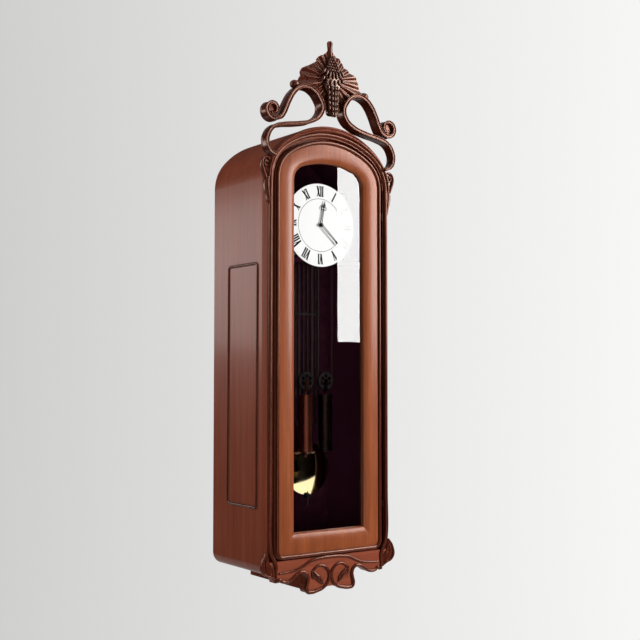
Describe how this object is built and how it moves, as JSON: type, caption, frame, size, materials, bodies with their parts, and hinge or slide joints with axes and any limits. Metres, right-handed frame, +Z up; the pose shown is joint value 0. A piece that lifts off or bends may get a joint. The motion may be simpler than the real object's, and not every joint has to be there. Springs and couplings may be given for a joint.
{
  "type": "weight-driven wall clock",
  "caption": "Weight-driven wall clock in an arched wooden case with a carved scroll crest, hinged glazed door, round dial, gridiron pendulum and weights hung on pulleys.",
  "frame": {"origin": "middle of the hanger hole on the wall plane at the back of the case", "axes": "+Z up along the case, +Y out of the back into the wall, +X to the right of a viewer in front"},
  "size_m": [0.384, 0.26, 1.287],
  "materials": {
    "case_wood": "satin",
    "carved_wood": "satin",
    "door_wood": "polished",
    "glass": "clear",
    "brass": "satin",
    "polished_brass": "polished",
    "gilt_rods": "satin",
    "dial_white": "enamel",
    "steel": "satin",
    "blued_steel": "satin"
  },
  "bodies": {
    "case": {"back_board": "case_wood", "side_left": "case_wood", "side_right": "case_wood", "arched_top": "case_wood", "bottom_board": "case_wood", "bottom_block": "case_wood", "side_beads": "case_wood", "frame_stile_left": "case_wood", "frame_stile_right": "case_wood", "frame_arch": "case_wood", "frame_bead": "case_wood", "apron": "carved_wood", "ear_left": "carved_wood", "ear_right": "carved_wood", "crest_scroll_left": "carved_wood", "crest_scroll_right": "carved_wood", "crest_leaf": "carved_wood", "grape_cluster": "carved_wood", "side_scroll_left": "carved_wood", "side_scroll_right": "carved_wood", "hanger_plate": "brass", "frame_hinges": "brass", "seat_board": "case_wood", "seat_cleats": "case_wood", "front_plate": "brass", "back_plate": "brass", "plate_pillars": "brass", "dial": "dial_white", "suspension_cock": "brass", "gong": "steel", "cable_left": "steel", "cable_right": "steel"},
    "door": {"door_stile_left": "door_wood", "door_stile_right": "door_wood", "door_arch": "door_wood", "door_rail": "door_wood", "door_glass": "glass", "glazing_bead": "door_wood", "door_bead": "door_wood", "door_hinges": "brass"},
    "pendulum": {"suspension_spring": "steel", "gridiron": "gilt_rods", "bob": "polished_brass", "rating_nut": "brass"},
    "anchor": {"anchor": "steel"},
    "minute_arbor": {"centre_wheel": "brass", "minute_hand": "blued_steel"},
    "hour_arbor": {"hour_hand": "blued_steel"},
    "minute_wheel": {"minute_wheel": "brass"},
    "third_arbor": {"third_wheel": "brass"},
    "escape_arbor": {"escape_wheel": "brass"},
    "great_wheel": {"great_wheel": "brass"},
    "strike_wheel": {"strike_wheel": "brass"},
    "hammer": {"hammer": "steel"},
    "drum_left": {"drum_left": "brass"},
    "drum_right": {"drum_right": "brass"},
    "weight_left": {"weight_left": "polished_brass"},
    "weight_right": {"weight_right": "polished_brass"},
    "pulley_left": {"pulley_left": "brass"},
    "pulley_right": {"pulley_right": "brass"}
  },
  "joints": [
    {"name": "door_hinge", "type": "hinge", "parent": "case", "child": "door", "pos_m": [0.155, -0.24, -0.446], "axis": [0, 0, 1], "range_deg": [0, 95]},
    {"name": "pendulum_swing", "type": "hinge", "parent": "case", "child": "pendulum", "pos_m": [0, -0.146, -0.06173], "axis": [0, 1, 0], "range_deg": [-3, 3]},
    {"name": "anchor_rock", "type": "hinge", "parent": "case", "child": "anchor", "pos_m": [0, -0.175, -0.06173], "axis": [0, 1, 0], "range_deg": [-3, 3]},
    {"name": "minute_turn", "type": "hinge", "parent": "case", "child": "minute_arbor", "pos_m": [0, -0.175, -0.1275], "axis": [0, 1, 0], "continuous": true},
    {"name": "hour_turn", "type": "hinge", "parent": "case", "child": "hour_arbor", "pos_m": [0, -0.175, -0.1275], "axis": [0, 1, 0], "continuous": true},
    {"name": "minute_wheel_turn", "type": "hinge", "parent": "case", "child": "minute_wheel", "pos_m": [0.015, -0.175, -0.1275], "axis": [0, 1, 0], "continuous": true},
    {"name": "third_turn", "type": "hinge", "parent": "case", "child": "third_arbor", "pos_m": [-0.02, -0.175, -0.10316], "axis": [0, 1, 0], "continuous": true},
    {"name": "escape_turn", "type": "hinge", "parent": "case", "child": "escape_arbor", "pos_m": [0, -0.175, -0.08718], "axis": [0, 1, 0], "continuous": true},
    {"name": "great_turn", "type": "hinge", "parent": "case", "child": "great_wheel", "pos_m": [-0.032, -0.175, -0.16408], "axis": [0, 1, 0], "continuous": true},
    {"name": "strike_turn", "type": "hinge", "parent": "case", "child": "strike_wheel", "pos_m": [0.032, -0.175, -0.16408], "axis": [0, 1, 0], "continuous": true},
    {"name": "hammer_lift", "type": "hinge", "parent": "case", "child": "hammer", "pos_m": [0.044, -0.175, -0.1225], "axis": [0, -1, 0], "range_deg": [0, 8]},
    {"name": "weight_left_drop", "type": "slide", "parent": "case", "child": "weight_left", "axis": [0, 0, 1], "range_m": [-0.22, 0.24], "deforming": ["cable_left"]},
    {"name": "drum_left_turn", "type": "hinge", "parent": "case", "child": "drum_left", "pos_m": [-0.032, -0.175, -0.16408], "axis": [0, 1, 0], "range_deg": [-1580, 1725]},
    {"name": "pulley_left_turn", "type": "hinge", "parent": "weight_left", "child": "pulley_left", "pos_m": [-0.028, -0.18, -0.497], "axis": [0, 1, 0], "range_deg": [-632, 690]},
    {"name": "weight_right_drop", "type": "slide", "parent": "case", "child": "weight_right", "axis": [0, 0, 1], "range_m": [-0.22, 0.24], "deforming": ["cable_right"]},
    {"name": "drum_right_turn", "type": "hinge", "parent": "case", "child": "drum_right", "pos_m": [0.032, -0.175, -0.16408], "axis": [0, 1, 0], "range_deg": [-1725, 1580]},
    {"name": "pulley_right_turn", "type": "hinge", "parent": "weight_right", "child": "pulley_right", "pos_m": [0.028, -0.18, -0.497], "axis": [0, 1, 0], "range_deg": [-690, 632]}
  ],
  "couplings": [
    {"joint": "anchor_rock", "follows": "pendulum_swing", "ratio": 1},
    {"joint": "hour_turn", "follows": "minute_turn", "ratio": 0.083333},
    {"joint": "minute_wheel_turn", "follows": "minute_turn", "ratio": -0.33333},
    {"joint": "third_turn", "follows": "minute_turn", "ratio": -6},
    {"joint": "escape_turn", "follows": "minute_turn", "ratio": 42},
    {"joint": "great_turn", "follows": "minute_turn", "ratio": -0.22727},
    {"joint": "drum_left_turn", "follows": "weight_left_drop", "rad_per_m": 125},
    {"joint": "pulley_left_turn", "follows": "weight_left_drop", "rad_per_m": 50},
    {"joint": "drum_right_turn", "follows": "weight_right_drop", "rad_per_m": -125},
    {"joint": "pulley_right_turn", "follows": "weight_right_drop", "rad_per_m": -50}
  ]
}
